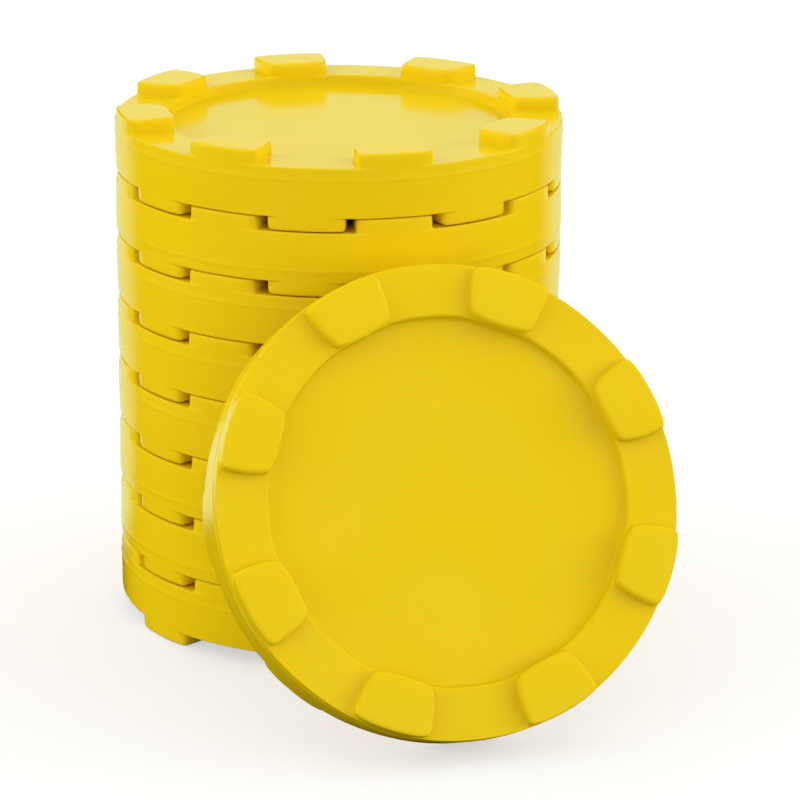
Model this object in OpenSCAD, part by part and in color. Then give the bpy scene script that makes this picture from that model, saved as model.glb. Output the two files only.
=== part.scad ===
// Set of interlocking poker chips: an upright stack, nested by its tabs, and one more chip leaning on it.
// Each chip is one plastic moulding with a crown of raised tabs on both faces. The crown below is turned by
// half a step, so a chip's lower tabs drop between the upper tabs of the chip under it.
// The stack's axis is the Z axis, and the set stands on z = 0. The leaning chip is in front, towards -Y.

/* [Chip] */
// Diameter of the chip at its parting line
chip_d = 39; // [36:0.5:45]
// Thickness between the two rim faces, without the tabs
body_t = 4.3; // [3.8:0.1:5.5]
// Depth of the round recess below the rim face
recess_depth = 0.9; // [0.5:0.1:1.2]
// Diameter of the recess wall
recess_d = 30.2; // [29.8:0.2:31.6]
// Radius of the rounded edge between rim face and outer wall
rim_edge_r = 0.2; // [0.1:0.05:0.4]
// Radius of the rounded edge between rim face and recess wall
recess_edge_r = 0.35; // [0.15:0.05:0.45]
// Radius of the fillet between recess wall and recess floor
recess_fillet_r = 0.3; // [0.1:0.05:0.4]
// Draft of the outer wall on both sides of the parting line, in degrees
wall_draft = 1; // [0.5:0.25:2]

/* [Parting line] */
// Distance of the parting line from the nearer rim face
parting_depth = 1.05; // [0.9:0.05:1.6]
// Width of the fine bead along the parting line
bead_w = 0.24; // [0.16:0.02:0.4]
// How far the bead stands out of the wall
bead_proud = 0.07; // [0.03:0.01:0.1]

/* [Tabs] */
// Number of tabs on each face
tab_n = 8; // [6:1:8]
// Height of a tab above the rim face
tab_h = 1.2; // [0.9:0.1:1.8]
// Distance of a tab's flat inner end from the chip's axis
tab_inner_r = 14.9; // [14.5:0.1:15.1]
// How far a tab's outer face stays behind the outer wall
tab_setback = 0.05; // [0.03:0.01:0.2]
// Radius of the corners at a tab's inner end, seen from above
tab_corner_r = 1; // [0.6:0.1:1.2]
// Radius of the corners at a tab's outer end, seen from above
tab_outer_corner_r = 0.9; // [0.6:0.1:1.1]
// Radius of a tab's rounded top edges
tab_edge_r = 0.3; // [0.15:0.05:0.5]

/* [Nesting] */
// Side gap between nested tabs at their inner ends
inner_gap = 0.4; // [0.3:0.05:0.6]
// Side gap between nested tabs at the outer wall
outer_gap = 0.45; // [0.4:0.05:1.2]
// Gap between a tab's top and the rim face that it meets
nest_gap = 0.05; // [0.03:0.01:0.1]
// Turn of the whole stack about its axis, in degrees
stack_turn = 14.3; // [0:0.1:45]

/* [Leaning chip] */
// How far the leaning chip tilts back from upright, in degrees
lean_tilt = 25; // [18:1:30]
// Side of the stack that it leans on, in degrees from the front
lean_side = 16; // [-40:1:40]
// Gap between its upper tab and the stack
lean_gap = 0.3; // [0.25:0.05:0.4]

/* [Hidden] */
$fn = 96;
chip_color = "gold";

// Chips of the stack from the floor up: small turns in degrees, and 1 where a chip lies with its parting line low
chip_turns = [0, -0.2, -0.6, -1.1, -1.1, -0.6, 0, 0];
chip_flips = [0, 1, 1, 0, 0, 0, 1, 0];

chip_r = chip_d / 2;
half_t = body_t / 2;
recess_r = recess_d / 2;
parting_z = half_t - parting_depth;
floor_z = half_t - recess_depth;
bead_r = bead_w / 2;
overrun = body_t;
wall_slope = tan(wall_draft);

tab_step = 360 / tab_n;
tab_r = chip_r - wall_slope * parting_depth - tab_setback;
tab_root = recess_depth + recess_fillet_r;
tab_inner_half = tab_inner_r * sin(tab_step / 4) - inner_gap / 2;
tab_outer_half = chip_r * sin(tab_step / 4) - outer_gap / 2;
tab_taper = atan((tab_outer_half - tab_inner_half) / (chip_r - tab_inner_r));
outer_corner_x = sqrt((chip_r - tab_outer_corner_r) ^ 2 - (tab_outer_half - tab_outer_corner_r) ^ 2);

pitch = body_t + tab_h + nest_gap;

// Centre of the rounding along a tab's outer top edge: its distance from the chip's axis and from its mid plane
edge_r = tab_r - wall_slope * (tab_h - tab_edge_r) - tab_edge_r / cos(wall_draft);
edge_a = half_t + tab_h - tab_edge_r;
// Middle of the leaning chip, from the stack's axis and above the floor: one rear tab stands on the floor, and
// the rear tab opposite touches the stack but for the gap
lean_out = chip_r + bead_proud + lean_gap + tab_edge_r + edge_r * sin(lean_tilt) + edge_a * cos(lean_tilt);
lean_up = tab_edge_r + edge_r * cos(lean_tilt) + edge_a * sin(lean_tilt);

// Upper half of the chip's section, from a level of its wall up to the rim face, with its rounded edge
module wall_section(base_z, top_z) {
    rise = top_z - base_z;
    cr = chip_r - wall_slope * (rise - rim_edge_r) - rim_edge_r / cos(wall_draft);
    translate([0, base_z]) {
        polygon([
            [0, 0],
            [chip_r, 0],
            [cr + rim_edge_r * cos(wall_draft), rise - rim_edge_r + rim_edge_r * sin(wall_draft)],
            [cr, rise],
            [0, rise]
        ]);
        translate([cr, rise - rim_edge_r]) circle(rim_edge_r);
    }
}

// What the recess takes out of the section: its wall is rounded off above and has a fillet below
module recess_section() {
    difference() {
        union() {
            translate([0, floor_z]) square([recess_r - recess_fillet_r, overrun]);
            translate([0, floor_z + recess_fillet_r]) square([recess_r, overrun]);
            translate([recess_r - recess_fillet_r, floor_z + recess_fillet_r]) circle(recess_fillet_r);
            translate([0, half_t - recess_edge_r]) square([recess_r + recess_edge_r, overrun]);
        }
        translate([recess_r + recess_edge_r, half_t - recess_edge_r]) circle(recess_edge_r);
    }
}

module chip_section() {
    difference() {
        union() {
            wall_section(parting_z, half_t);
            mirror([0, 1]) wall_section(-parting_z, half_t);
            translate([chip_r + bead_proud - bead_r, parting_z]) circle(bead_r);
        }
        recess_section();
        mirror([0, 1]) recess_section();
    }
}

// Outline of a tab from above: a flat inner end with round corners, sides that spread, and an outer end with
// round corners that runs past the outer wall
module tab_plan() {
    away = [-sin(tab_taper), cos(tab_taper)];
    slope = tan(tab_taper);
    inner = [tab_inner_r + tab_corner_r, tab_inner_half + tab_corner_r * (slope - 1 / cos(tab_taper))];
    outer_y = tab_inner_half + (outer_corner_x - tab_inner_r) * slope - tab_outer_corner_r / cos(tab_taper);
    outer = [outer_corner_x, outer_y];
    right = [
        [tab_inner_r, inner[1]],
        inner + away * tab_corner_r,
        outer + away * tab_outer_corner_r,
        outer
    ];
    polygon([for (p = right) p, for (i = [len(right) - 1 : -1 : 0]) [right[i][0], -right[i][1]]]);
    translate([outer_corner_x, -outer_y]) square([overrun, 2 * outer_y]);
    for (s = [-1, 1]) {
        translate([inner[0], s * inner[1]]) circle(tab_corner_r);
        translate([outer[0], s * outer[1]]) circle(tab_outer_corner_r);
    }
}

// A wide bar along X, which ends at y = 0 in a side with a rounded top edge
module rounded_side() {
    translate([-chip_r, 0, -tab_root]) rotate([90, 0, 90]) linear_extrude(2 * chip_r) {
        translate([-chip_r, 0]) square([chip_r, tab_h + tab_root - tab_edge_r]);
        translate([-chip_r, 0]) square([chip_r - tab_edge_r, tab_h + tab_root]);
        translate([-tab_edge_r, tab_h + tab_root - tab_edge_r]) circle(tab_edge_r);
    }
}

// One tab over the rim face at z = 0, still with an outer wall that the crown trims
module tab() {
    intersection() {
        translate([0, 0, -tab_root]) linear_extrude(tab_h + tab_root) tab_plan();
        translate([tab_inner_r, tab_inner_half, 0]) rotate(tab_taper) rounded_side();
        mirror([0, 1, 0]) translate([tab_inner_r, tab_inner_half, 0]) rotate(tab_taper) rounded_side();
        translate([tab_inner_r, 0, 0]) rotate(90) rounded_side();
    }
}

// The ring of tabs on one face, trimmed to a drafted outer wall with a rounded top edge
module crown() {
    rise = tab_h + tab_root;
    intersection() {
        translate([0, 0, -tab_root]) rotate_extrude() {
            polygon([
                [0, 0],
                [tab_r + wall_slope * tab_root, 0],
                [edge_r + tab_edge_r * cos(wall_draft), rise - tab_edge_r + tab_edge_r * sin(wall_draft)],
                [edge_r, rise],
                [0, rise]
            ]);
            translate([edge_r, rise - tab_edge_r]) circle(tab_edge_r);
        }
        for (i = [0 : tab_n - 1]) rotate(i * tab_step) tab();
    }
}

// One whole chip about its own centre, with an upper tab on +X and its parting line above the mid plane
module chip() {
    color(chip_color) {
        rotate_extrude() chip_section();
        translate([0, 0, half_t]) crown();
        rotate(tab_step / 2) mirror([0, 0, 1]) translate([0, 0, half_t]) crown();
    }
}

// Chip i of the stack, counted from 0 at the floor. A flipped chip turns over about a line half way between
// an upper and a lower tab, so its tabs keep their places
module stacked(i) {
    translate([0, 0, tab_h + half_t + i * pitch]) rotate(stack_turn + chip_turns[i] + tab_step / 4)
        rotate([180 * chip_flips[i], 0, 0]) rotate(-tab_step / 4) chip();
}

module stack_chip_1() stacked(0);
module stack_chip_2() stacked(1);
module stack_chip_3() stacked(2);
module stack_chip_4() stacked(3);
module stack_chip_5() stacked(4);
module stack_chip_6() stacked(5);
module stack_chip_7() stacked(6);
module stack_chip_8() stacked(7);

module leaning_chip() {
    rotate(lean_side) translate([0, -lean_out, lean_up])
        rotate([90 - lean_tilt, 0, 0]) rotate(tab_step / 2) chip();
}

stack_chip_1();
stack_chip_2();
stack_chip_3();
stack_chip_4();
stack_chip_5();
stack_chip_6();
stack_chip_7();
stack_chip_8();
leaning_chip();
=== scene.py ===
"""Looks of the interlocking poker chips: soft moulded chips in yellow plastic, in a white studio."""
import math

import bmesh
import bpy
from mathutils import Matrix, Vector


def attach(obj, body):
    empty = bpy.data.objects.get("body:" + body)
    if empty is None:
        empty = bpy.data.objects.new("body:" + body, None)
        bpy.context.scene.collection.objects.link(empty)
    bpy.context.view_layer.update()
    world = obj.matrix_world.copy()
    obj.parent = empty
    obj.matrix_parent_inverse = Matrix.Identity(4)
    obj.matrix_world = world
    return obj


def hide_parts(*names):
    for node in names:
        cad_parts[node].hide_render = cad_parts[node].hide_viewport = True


MM = 0.001

# The photograph's camera: focal length in pixels of an 800 pixel frame, place in metres, angles in degrees
PICTURE_PX = 800
FOCAL_PX = 3733.06
SENSOR_MM = 36.0
CAMERA_PLACE = (0.0, -0.31721, 0.12025)
CAMERA_PITCH = 17.835
CAMERA_YAW = 0.992
CAMERA_ROLL = 0.422
CAMERA_NEAR = 0.01
CAMERA_FAR = 20.0

# One chip, in millimetres, about its own centre
CHIP_R = 19.5
HALF_T = 2.15
RIM_EDGE = 0.13
# Draft of the wall, in degrees
WALL_DRAFT = 0.7

# The round recess in each face: its floor's height, its wall, the fillet below and the round edge above it
FLOOR_Z = 1.25
RECESS_R = 15.1
RECESS_FILLET = 0.3
RECESS_EDGE = 0.35

# The parting line: its height, how far its bead stands out, half the bead's width, and that with its foot
PARTING_Z = 1.1
BEAD_PROUD = 0.025
BEAD_HALF = 0.06
BEAD_FOOT = 0.15

# A tab: its height, its flat inner end's distance from the axis, half its width there and at the wall, the
# rounding of its top edge at the wall and elsewhere, and the radii of its corners seen from above
TAB_H = 1.2
TAB_N = 8
TAB_IN = 14.9
TAB_INNER_HALF = 2.707
TAB_OUTER_HALF = 3.579
TIP_EDGE = 0.28
SIDE_EDGE = 0.5
INNER_CORNER_R = 1.5
OUTER_CORNER_R = 0.95

# Rings of the control cage that only hold its shape: radii on the recess floor and in mid rim, distances
# from the recess wall and from the outer wall, heights from the parting line, and that of a tab's root
FLOOR_RING = 13.8
MID_RING = 17.2
RIM_NEAR = 0.45
RIM_FAR = 0.85
RIM_OUTER = 0.5
WALL_ABOVE = 0.4
WALL_BELOW = 0.6
TAB_ROOT = 0.15
# How far below the rim face the inner end and the outer end of a tab begin
INNER_FOOT = 0.12
OUTER_FOOT = 0.06

# How far the control point of a rounded edge moves in from the sharp edge, as a share of its radius
PULL = 0.16
# Height of the lowest ring of the recess wall, as a share of the fillet, and distance of the rim's first
# ring from that wall, as a share of the rounded edge
FILLET_SHARE = 1.4
EDGE_SHARE = 0.8
# Radius on which the control points of a rounded corner lie, as a share of its true radius
CORNER_GROWTH = 1.02
# Rounds in which the point of a tab at a given distance from the axis is found
RADIUS_ROUNDS = 4
# The smoothed wall's vertices, which go back on true circles: their least radius and greatest height, and
# the digits to which the heights of one circle agree
WALL_FROM = 19.2
WALL_TOP = 1.45
HEIGHT_DIGITS = 3
SMOOTHING = 2

# Columns of one sector, from the middle of a tab on, as shares of the tab's half width. The one with no
# share lies between two sectors, and those after it belong to the next sector
COLUMN_SHARES = (0.0, 0.5, 0.85, 1.0, None, -1.0, -0.85, -0.5)
COLUMNS_OF_NEXT = 3
SECTORS = 2 * TAB_N
COLUMNS = SECTORS * len(COLUMN_SHARES)
SECTOR = math.tau / SECTORS
# Points of a face's section at which a tab begins at its inner end and ends at the wall, and a tab's levels
TAB_START = 5
TAB_END = 10
TAB_LEVELS = 3

# How the chips lie: millimetres and degrees
PITCH = 5.55
STACK_TURN = 14.3
CHIP_TURNS = (0.0, -0.2, -0.6, -1.1, -1.1, -0.6, 0.0, 0.0)
CHIP_FLIPS = (0, 1, 1, 0, 0, 0, 1, 0)
LEAN_TILT = 25.0
LEAN_SIDE = 16.0
LEAN_OUT = 31.013
LEAN_UP = 18.9139

# The plastic: its refractive index, its two tones and where they lie in the waves, and its unevenness, with
# the depth in metres
PLASTIC_IOR = 1.4
DEEP_YELLOW = (0.862, 0.604, 0.0048, 1.0)
PALE_YELLOW = (0.872, 0.612, 0.0052, 1.0)
DEEP_AT = 0.3
PALE_AT = 0.7
BUMP_STRENGTH = 0.1
BUMP_DEPTH = 0.00004
# Its skin: the sizes of grain and waves, how much the grain counts, and the roughness at both ends
SKIN = {
    "Grain per metre": 2600.0,
    "Waves per metre": 160.0,
    "Grain share": 0.12,
    "Gloss low": 0.12,
    "Gloss high": 0.17,
}
# Detail of grain and waves, and the part of the waves in which the gloss changes
GRAIN_DETAIL = 2.0
WAVE_DETAIL = 0.0
GLOSS_FROM = 0.35
GLOSS_TO = 0.65

# The light tent: its strength towards front and back, towards the sides and above, and the heights, as
# directions, between which the sides pass into the top
FRONT_LIGHT = 1.1
TENT_LIGHT = 3.45
TOP_LIGHT = 0.82
TOP_FROM = 0.15
TOP_FULL = 0.8

# The white that gloss shows behind the chips: its strength and cast, and the directions in which it begins
# and is full towards the back, and is out and full towards the sides
BACK_GLOSS = 0.9
GLOSS_TINT = (0.76, 1.0, 0.68, 1.0)
WHITE = (1.0, 1.0, 1.0, 1.0)
BACK_FROM = 0.5
BACK_FULL = 0.8
SIDE_OUT = 0.32
SIDE_FULL = 0.14
# The same on the floor: metres behind the axis, and distance beyond the stack's side as a share of that
FLOOR_BACK_FROM = 0.005
FLOOR_BACK_FULL = 0.02
FLOOR_SIDE_OUT = 1.7
FLOOR_SIDE_FULL = 0.7

# The floor: half its length and how far it lies under the tabs, in metres, its grey for other rays and for
# the camera, the share of plain white that the camera sees in it, and its roughness
FLOOR_HALF = 1.5
FLOOR_DROP = 0.00002
FLOOR_GREY = 0.4
FLOOR_PALE = 1.0
FLOOR_WHITE = 0.55
FLOOR_ROUGHNESS = 0.9


def make_camera():
    pitch, yaw, roll = (math.radians(a) for a in (CAMERA_PITCH, CAMERA_YAW, CAMERA_ROLL))
    forward = Vector((math.sin(yaw) * math.cos(pitch), math.cos(yaw) * math.cos(pitch), -math.sin(pitch)))
    right = Vector((math.cos(yaw), -math.sin(yaw), 0.0))
    up = right.cross(forward)
    side = right * math.cos(roll) + up * math.sin(roll)
    top = up * math.cos(roll) - right * math.sin(roll)
    data = bpy.data.cameras.new("camera")
    data.sensor_width = SENSOR_MM
    data.lens = FOCAL_PX * SENSOR_MM / PICTURE_PX
    data.clip_start = CAMERA_NEAR
    data.clip_end = CAMERA_FAR
    camera = bpy.data.objects.new("camera", data)
    bpy.context.scene.collection.objects.link(camera)
    facing = Matrix((side, top, -forward)).transposed().to_4x4()
    camera.matrix_world = Matrix.Translation(CAMERA_PLACE) @ facing
    bpy.context.scene.camera = camera


def wall_r(z):
    return CHIP_R - math.tan(math.radians(WALL_DRAFT)) * abs(z - PARTING_Z)


def tab_slope():
    return (TAB_OUTER_HALF - TAB_INNER_HALF) / (CHIP_R - TAB_IN)


def tab_half(x):
    return TAB_INNER_HALF + (x - TAB_IN) * tab_slope()


def on_chord(x, share):
    """Plan point at a distance x along the tab, at a share of its half width there."""
    return x, share * tab_half(x)


def on_radius(r, share):
    """Plan point at a distance r from the chip's axis, at a share of the tab's half width there."""
    if share is None:
        return r * math.cos(SECTOR / 2), r * math.sin(SECTOR / 2)
    x = r
    for _ in range(RADIUS_ROUNDS):
        x = math.sqrt(r * r - (share * tab_half(x)) ** 2)
    return on_chord(x, share)


def corner_centres():
    """Centres of a tab's rounded corners in plan: x, y, radius, and the way along x that each faces."""
    lean = math.hypot(1.0, tab_slope())
    inner_x = TAB_IN + INNER_CORNER_R
    outer_x = math.sqrt((CHIP_R - OUTER_CORNER_R) ** 2 - (TAB_OUTER_HALF - OUTER_CORNER_R) ** 2)
    return (
        (inner_x, tab_half(inner_x) - INNER_CORNER_R * lean, INNER_CORNER_R, -1),
        (outer_x, tab_half(outer_x) - OUTER_CORNER_R * lean, OUTER_CORNER_R, 1),
    )


def rounded(point, inset):
    """Moves a plan point that lies outside a tab's rounded corner onto the corner's arc."""
    x, y = point
    for cx, cy, radius, way in corner_centres():
        dx, dy = (x - cx) * way, abs(y) - cy
        reach = math.hypot(dx, dy)
        limit = (radius - inset) * CORNER_GROWTH
        if dx > 0 and dy > 0 and reach > limit:
            x = cx + way * dx * limit / reach
            y = math.copysign(cy + dy * limit / reach, y)
    return x, y


def face_section(side):
    """Radius and height of a face's section, from the recess floor over the rim to the outer wall."""
    edge = wall_r(side * HALF_T)
    return (
        (FLOOR_RING, FLOOR_Z),
        (RECESS_R - RECESS_FILLET, FLOOR_Z),
        (RECESS_R - PULL * RECESS_FILLET, FLOOR_Z + PULL * RECESS_FILLET),
        (RECESS_R, FLOOR_Z + FILLET_SHARE * RECESS_FILLET),
        (RECESS_R + PULL * RECESS_EDGE, HALF_T - PULL * RECESS_EDGE),
        (RECESS_R + EDGE_SHARE * RECESS_EDGE, HALF_T),
        (RECESS_R + RIM_NEAR, HALF_T),
        (RECESS_R + RIM_FAR, HALF_T),
        (MID_RING, HALF_T),
        (edge - RIM_OUTER, HALF_T),
        (edge - RIM_EDGE, HALF_T),
        (edge - PULL * RIM_EDGE, HALF_T - PULL * RIM_EDGE),
        (wall_r(side * (HALF_T - RIM_EDGE)), HALF_T - RIM_EDGE),
    )


def chip_section():
    """Radius and height all round the section: the upper face, the wall with its bead, the lower face."""
    upper = face_section(1)
    lower = [(r, -z) for r, z in reversed(face_section(-1))]
    heights = (WALL_ABOVE, BEAD_FOOT, BEAD_HALF, -BEAD_HALF, -BEAD_FOOT, -WALL_BELOW)
    wall = []
    for rise in heights:
        proud = BEAD_PROUD if abs(rise) == BEAD_HALF else 0.0
        wall.append((wall_r(PARTING_Z + rise) + proud, PARTING_Z + rise))
    return [*upper, *wall, *lower]


def below_tab(side, point, share):
    """Plan point and height of the section's points under a tab's two ends."""
    if point == TAB_END + 1:
        z = HALF_T - OUTER_FOOT
        return *on_radius(wall_r(side * z), share), z
    x, z = (
        (TAB_IN - RECESS_FILLET, FLOOR_Z),
        (TAB_IN - PULL * RECESS_FILLET, FLOOR_Z + PULL * RECESS_FILLET),
        (TAB_IN, FLOOR_Z + FILLET_SHARE * RECESS_FILLET),
        (TAB_IN, HALF_T - INNER_FOOT),
    )[point - 1]
    return *on_chord(x, share), z


def tab_point(side, point, share, level):
    """Plan point and height of a tab's control point, from its inner end out and from its root up."""
    top = HALF_T + TAB_H
    step = point - TAB_START
    at_wall = point == TAB_END
    edge = TIP_EDGE if at_wall else SIDE_EDGE
    on_border = step == 0 or at_wall or abs(share) == 1.0
    pull = 0.0
    z = (HALF_T, HALF_T + TAB_ROOT, top - edge, top)[level]
    if level == TAB_LEVELS:
        pull = PULL if on_border else 1.0
        z = top - PULL * edge if on_border else top
    if at_wall:
        x, y = on_radius(wall_r(side * z) - pull * edge, share)
    elif point == TAB_END - 1:
        x, y = on_radius(wall_r(side * top) - edge, share)
    else:
        along = (TAB_IN + pull * edge, TAB_IN + edge, TAB_IN + INNER_CORNER_R, MID_RING)
        x, y = on_chord(along[step], share)
    inset = pull * SIDE_EDGE
    if abs(share) == 1.0:
        y -= share * inset
    return *rounded((x, y), inset), z


def chip_cage():
    """Control cage of a chip, with an upper tab on +X: its section spun round, and tabs drawn out of it."""
    bm = bmesh.new()
    point_of = bm.verts.layers.int.new("point")
    column_of = bm.verts.layers.int.new("column")
    level_of = bm.verts.layers.int.new("level")
    section = chip_section()
    line = []
    for point, (r, z) in enumerate(section):
        vert = bm.verts.new((r, 0.0, z))
        vert[point_of] = point
        line.append(vert)
    edges = [bm.edges.new(pair) for pair in zip(line, line[1:])]
    up = (0.0, 0.0, 1.0)
    bmesh.ops.spin(bm, geom=line + edges, axis=up, angle=math.tau, steps=COLUMNS, use_merge=True)
    for vert in bm.verts:
        vert[column_of] = round(math.atan2(vert.co.y, vert.co.x) / math.tau * COLUMNS) % COLUMNS

    def role(vert):
        """Side of the chip, point of that face's section, sector, share, and whether a tab is in line."""
        side = 1 if 2 * vert[point_of] < len(section) else -1
        point = vert[point_of] if side == 1 else len(section) - 1 - vert[point_of]
        sector = (vert[column_of] + COLUMNS_OF_NEXT) // len(COLUMN_SHARES)
        share = COLUMN_SHARES[vert[column_of] % len(COLUMN_SHARES)]
        has_tab = share is not None and (sector % 2 == 0) == (side == 1)
        return side, point, sector, share, has_tab

    def in_tab(vert):
        _, point, _, _, has_tab = role(vert)
        return has_tab and TAB_START <= point <= TAB_END

    faces = [f for f in bm.faces if all(in_tab(v) for v in f.verts)]
    for level in range(1, TAB_LEVELS + 1):
        drawn = bmesh.ops.extrude_face_region(bm, geom=faces)["geom"]
        bmesh.ops.delete(bm, geom=faces, context="FACES")
        faces = [g for g in drawn if isinstance(g, bmesh.types.BMFace)]
        for g in drawn:
            if isinstance(g, bmesh.types.BMVert):
                g[level_of] = level

    for vert in bm.verts:
        side, point, sector, share, has_tab = role(vert)
        r, z = section[vert[point_of]]
        z *= side
        if in_tab(vert):
            x, y, z = tab_point(side, point, share, vert[level_of])
        elif has_tab and abs(share) < 1.0 and (0 < point < TAB_START or point == TAB_END + 1):
            x, y, z = below_tab(side, point, share)
        else:
            x, y = on_radius(r, share)
        vert.co = turn(math.degrees(sector * SECTOR), "Z") @ Vector((x, y, side * z))
    bmesh.ops.recalc_face_normals(bm, faces=bm.faces)
    mesh = bpy.data.meshes.new("cage")
    bm.to_mesh(mesh)
    bm.free()
    return mesh


def radius_of(vert):
    return math.hypot(vert.co.x, vert.co.y)


def chip_mesh():
    """The cage, smoothed, with true circles in the wall and a flat floor in both recesses, in metres."""
    cage = bpy.data.objects.new("cage", chip_cage())
    bpy.context.scene.collection.objects.link(cage)
    soft = cage.modifiers.new("soft", "SUBSURF")
    soft.levels = SMOOTHING
    soft.render_levels = SMOOTHING
    shaped = cage.evaluated_get(bpy.context.evaluated_depsgraph_get())
    mesh = bpy.data.meshes.new_from_object(shaped)
    bpy.data.objects.remove(cage)
    bm = bmesh.new()
    bm.from_mesh(mesh)
    wall = [v for v in bm.verts if radius_of(v) > WALL_FROM and abs(v.co.z) < WALL_TOP]
    widest = {}
    for v in wall:
        height = round(v.co.z, HEIGHT_DIGITS)
        widest[height] = max(widest.get(height, 0.0), radius_of(v))
    for v in wall:
        grow = widest[round(v.co.z, HEIGHT_DIGITS)] / radius_of(v)
        v.co.x *= grow
        v.co.y *= grow
    bmesh.ops.holes_fill(bm, edges=[e for e in bm.edges if e.is_boundary], sides=0)
    bmesh.ops.recalc_face_normals(bm, faces=bm.faces)
    for f in bm.faces:
        f.smooth = True
    bmesh.ops.scale(bm, vec=(MM, MM, MM), verts=bm.verts)
    bm.to_mesh(mesh)
    bm.free()
    return mesh


def turn(angle, axis):
    return Matrix.Rotation(math.radians(angle), 4, axis)


def stack_place(i):
    """Place of chip i of the stack. A flipped chip turns over about a line half way between two tabs."""
    half = math.degrees(SECTOR / 2)
    place = Matrix.Translation((0.0, 0.0, MM * (TAB_H + HALF_T + i * PITCH)))
    place = place @ turn(STACK_TURN + CHIP_TURNS[i] + half, "Z")
    return place @ turn(180.0 * CHIP_FLIPS[i], "X") @ turn(-half, "Z")


def lean_place():
    out = Matrix.Translation((0.0, -MM * LEAN_OUT, MM * LEAN_UP))
    return turn(LEAN_SIDE, "Z") @ out @ turn(90.0 - LEAN_TILT, "X") @ turn(math.degrees(SECTOR), "Z")


def feed(tree, given, socket):
    """Gives a socket another node's output or a plain value."""
    if isinstance(given, bpy.types.NodeSocket):
        tree.links.new(given, socket)
    else:
        socket.default_value = given


def worked_out(tree, operation, *given):
    node = tree.nodes.new("ShaderNodeMath")
    node.operation = operation
    for value, socket in zip(given, node.inputs):
        feed(tree, value, socket)
    return node.outputs["Value"]


def ramped(tree, value, start, end, low, high, smooth=True):
    node = tree.nodes.new("ShaderNodeMapRange")
    if smooth:
        node.interpolation_type = "SMOOTHSTEP"
    names = ("Value", "From Min", "From Max", "To Min", "To Max")
    for name, given in zip(names, (value, start, end, low, high)):
        feed(tree, given, node.inputs[name])
    return node.outputs["Result"]


def mixed(tree, factor, first, second, kind="FLOAT"):
    node = tree.nodes.new("ShaderNodeMix")
    node.data_type = kind
    for name, given in (("Factor", factor), ("A", first), ("B", second)):
        socket = next(s for s in node.inputs if s.name == name and s.enabled)
        feed(tree, given, socket)
    return next(s for s in node.outputs if s.enabled)


def coordinates(tree, kind):
    place = tree.nodes.new("ShaderNodeTexCoord")
    split = tree.nodes.new("ShaderNodeSeparateXYZ")
    tree.links.new(place.outputs[kind], split.inputs["Vector"])
    return split.outputs


def moulded_skin():
    """What moulding and handling leave on smooth plastic: faint waves, fine grain and a changing gloss."""
    group = bpy.data.node_groups.new("moulded_skin", "ShaderNodeTree")
    sockets = group.interface
    sockets.new_socket("Vector", in_out="INPUT", socket_type="NodeSocketVector")
    for name in SKIN:
        sockets.new_socket(name, in_out="INPUT", socket_type="NodeSocketFloat")
    for name in ("Height", "Roughness", "Tint"):
        sockets.new_socket(name, in_out="OUTPUT", socket_type="NodeSocketFloat")
    given = group.nodes.new("NodeGroupInput").outputs
    result = group.nodes.new("NodeGroupOutput").inputs

    def noise(scale, detail):
        node = group.nodes.new("ShaderNodeTexNoise")
        for name, value in (("Detail", detail), ("Vector", given["Vector"]), ("Scale", given[scale])):
            feed(group, value, node.inputs[name])
        return node.outputs["Fac"]

    grain = noise("Grain per metre", GRAIN_DETAIL)
    waves = noise("Waves per metre", WAVE_DETAIL)
    height = worked_out(group, "MULTIPLY_ADD", grain, given["Grain share"], waves)
    ends = (given["Gloss low"], given["Gloss high"])
    gloss = ramped(group, waves, GLOSS_FROM, GLOSS_TO, *ends, smooth=False)
    for name, value in (("Height", height), ("Roughness", gloss), ("Tint", waves)):
        feed(group, value, result[name])
    return group


def yellow_plastic():
    mat = bpy.data.materials.new("yellow_plastic")
    mat.use_nodes = True
    tree = mat.node_tree
    bsdf = tree.nodes["Principled BSDF"]
    bsdf.inputs["IOR"].default_value = PLASTIC_IOR
    place = tree.nodes.new("ShaderNodeTexCoord")
    skin = tree.nodes.new("ShaderNodeGroup")
    skin.node_tree = moulded_skin()
    feed(tree, place.outputs["Object"], skin.inputs["Vector"])
    for name, value in SKIN.items():
        feed(tree, value, skin.inputs[name])
    colour = tree.nodes.new("ShaderNodeValToRGB")
    deep, pale = colour.color_ramp.elements
    deep.position = DEEP_AT
    deep.color = DEEP_YELLOW
    pale.position = PALE_AT
    pale.color = PALE_YELLOW
    bump = tree.nodes.new("ShaderNodeBump")
    bump.inputs["Strength"].default_value = BUMP_STRENGTH
    bump.inputs["Distance"].default_value = BUMP_DEPTH
    feed(tree, skin.outputs["Tint"], colour.inputs["Fac"])
    feed(tree, skin.outputs["Height"], bump.inputs["Height"])
    feed(tree, colour.outputs["Color"], bsdf.inputs["Base Color"])
    feed(tree, skin.outputs["Roughness"], bsdf.inputs["Roughness"])
    feed(tree, bump.outputs["Normal"], bsdf.inputs["Normal"])
    return mat


def make_chips():
    plastic = yellow_plastic()
    master = chip_mesh()
    places = {f"stack_chip_{i + 1}": stack_place(i) for i in range(len(CHIP_TURNS))}
    places["leaning_chip"] = lean_place()
    for name, place in places.items():
        mesh = master.copy()
        mesh.transform(place)
        mesh.materials.append(plastic)
        piece = bpy.data.objects.new(name + "_moulding", mesh)
        bpy.context.scene.collection.objects.link(piece)
        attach(piece, name)
        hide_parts(name)
    bpy.data.meshes.remove(master)


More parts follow.
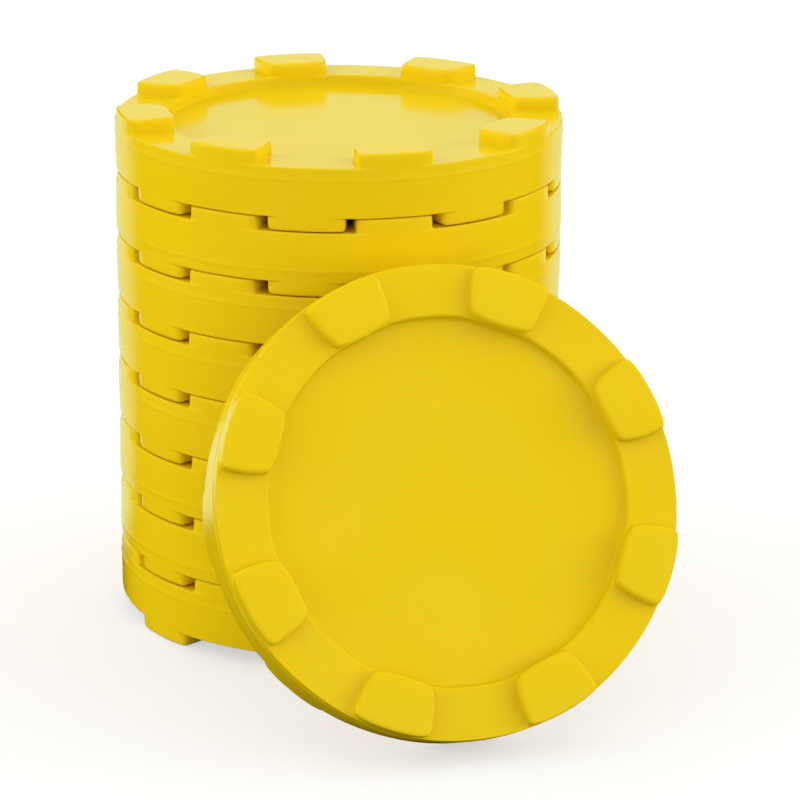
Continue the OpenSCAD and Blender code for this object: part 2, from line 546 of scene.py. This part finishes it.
def seen_in_gloss(tree):
    """White that gloss shows of the floor: only behind the stack, and fading out towards both sides."""
    place = coordinates(tree, "Object")
    behind = ramped(tree, place["Y"], FLOOR_BACK_FROM, FLOOR_BACK_FULL, 0.0, BACK_GLOSS)
    beyond = worked_out(tree, "SUBTRACT", worked_out(tree, "ABSOLUTE", place["X"]), CHIP_R * MM)
    share = worked_out(tree, "DIVIDE", beyond, place["Y"])
    within = ramped(tree, share, FLOOR_SIDE_OUT, FLOOR_SIDE_FULL, 0.0, 1.0)
    return worked_out(tree, "MULTIPLY", behind, within)


def make_floor():
    """A white floor. The camera sees part of the shadow on it, and gloss sees its own white instead."""
    bm = bmesh.new()
    bmesh.ops.create_grid(bm, x_segments=1, y_segments=1, size=FLOOR_HALF)
    bmesh.ops.translate(bm, vec=(0.0, 0.0, -FLOOR_DROP), verts=bm.verts)
    mesh = bpy.data.meshes.new("floor")
    bm.to_mesh(mesh)
    bm.free()
    mat = bpy.data.materials.new("floor")
    mat.use_nodes = True
    tree = mat.node_tree
    bsdf = tree.nodes["Principled BSDF"]
    bsdf.inputs["Roughness"].default_value = FLOOR_ROUGHNESS
    bsdf.inputs["Specular IOR Level"].default_value = 0.0
    path = tree.nodes.new("ShaderNodeLightPath").outputs
    grey = ramped(tree, path["Is Camera Ray"], 0.0, 1.0, FLOOR_GREY, FLOOR_PALE, smooth=False)
    feed(tree, grey, bsdf.inputs["Base Color"])
    white = tree.nodes.new("ShaderNodeEmission")
    mirrored = tree.nodes.new("ShaderNodeEmission")
    mirrored.inputs["Color"].default_value = GLOSS_TINT
    feed(tree, seen_in_gloss(tree), mirrored.inputs["Strength"])
    lighter = tree.nodes.new("ShaderNodeMixShader")
    glossy = tree.nodes.new("ShaderNodeMixShader")
    parts = (
        (worked_out(tree, "MULTIPLY", path["Is Camera Ray"], FLOOR_WHITE), bsdf, white, lighter),
        (path["Is Glossy Ray"], lighter, mirrored, glossy),
    )
    for share, first, second, mix in parts:
        for given, socket in zip((share, first.outputs[0], second.outputs[0]), mix.inputs):
            feed(tree, given, socket)
    feed(tree, glossy.outputs["Shader"], tree.nodes["Material Output"].inputs["Surface"])
    mesh.materials.append(mat)
    floor = bpy.data.objects.new("floor", mesh)
    bpy.context.scene.collection.objects.link(floor)


def make_lights():
    """A light tent, brightest at both sides. Gloss shows only its back, and the camera plain white."""
    world = bpy.data.worlds.new("studio")
    world.use_nodes = True
    tree = world.node_tree
    way = coordinates(tree, "Generated")
    around = ramped(tree, worked_out(tree, "ABSOLUTE", way["Y"]), 1.0, 0.0, FRONT_LIGHT, TENT_LIGHT)
    tent = mixed(tree, ramped(tree, way["Z"], TOP_FROM, TOP_FULL, 0.0, 1.0), around, TOP_LIGHT)
    back = ramped(tree, way["Y"], BACK_FROM, BACK_FULL, 0.0, BACK_GLOSS)
    middle = ramped(tree, worked_out(tree, "ABSOLUTE", way["X"]), SIDE_OUT, SIDE_FULL, 0.0, 1.0)
    path = tree.nodes.new("ShaderNodeLightPath").outputs
    lit = mixed(tree, path["Is Glossy Ray"], tent, worked_out(tree, "MULTIPLY", back, middle))
    seen = mixed(tree, path["Is Camera Ray"], lit, 1.0)
    cast = mixed(tree, path["Is Glossy Ray"], WHITE, GLOSS_TINT, kind="RGBA")
    background = tree.nodes["Background"]
    feed(tree, cast, background.inputs["Color"])
    feed(tree, seen, background.inputs["Strength"])
    world.cycles.sampling_method = "NONE"
    bpy.context.scene.world = world
    bpy.context.scene.view_settings.view_transform = "Standard"


make_camera()
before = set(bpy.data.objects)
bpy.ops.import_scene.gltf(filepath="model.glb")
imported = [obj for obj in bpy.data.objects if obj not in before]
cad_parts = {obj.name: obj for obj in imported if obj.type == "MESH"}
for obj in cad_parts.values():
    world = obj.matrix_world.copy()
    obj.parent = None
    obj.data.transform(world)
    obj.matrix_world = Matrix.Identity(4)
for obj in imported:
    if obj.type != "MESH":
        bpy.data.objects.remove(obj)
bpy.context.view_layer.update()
make_chips()
make_floor()
make_lights()
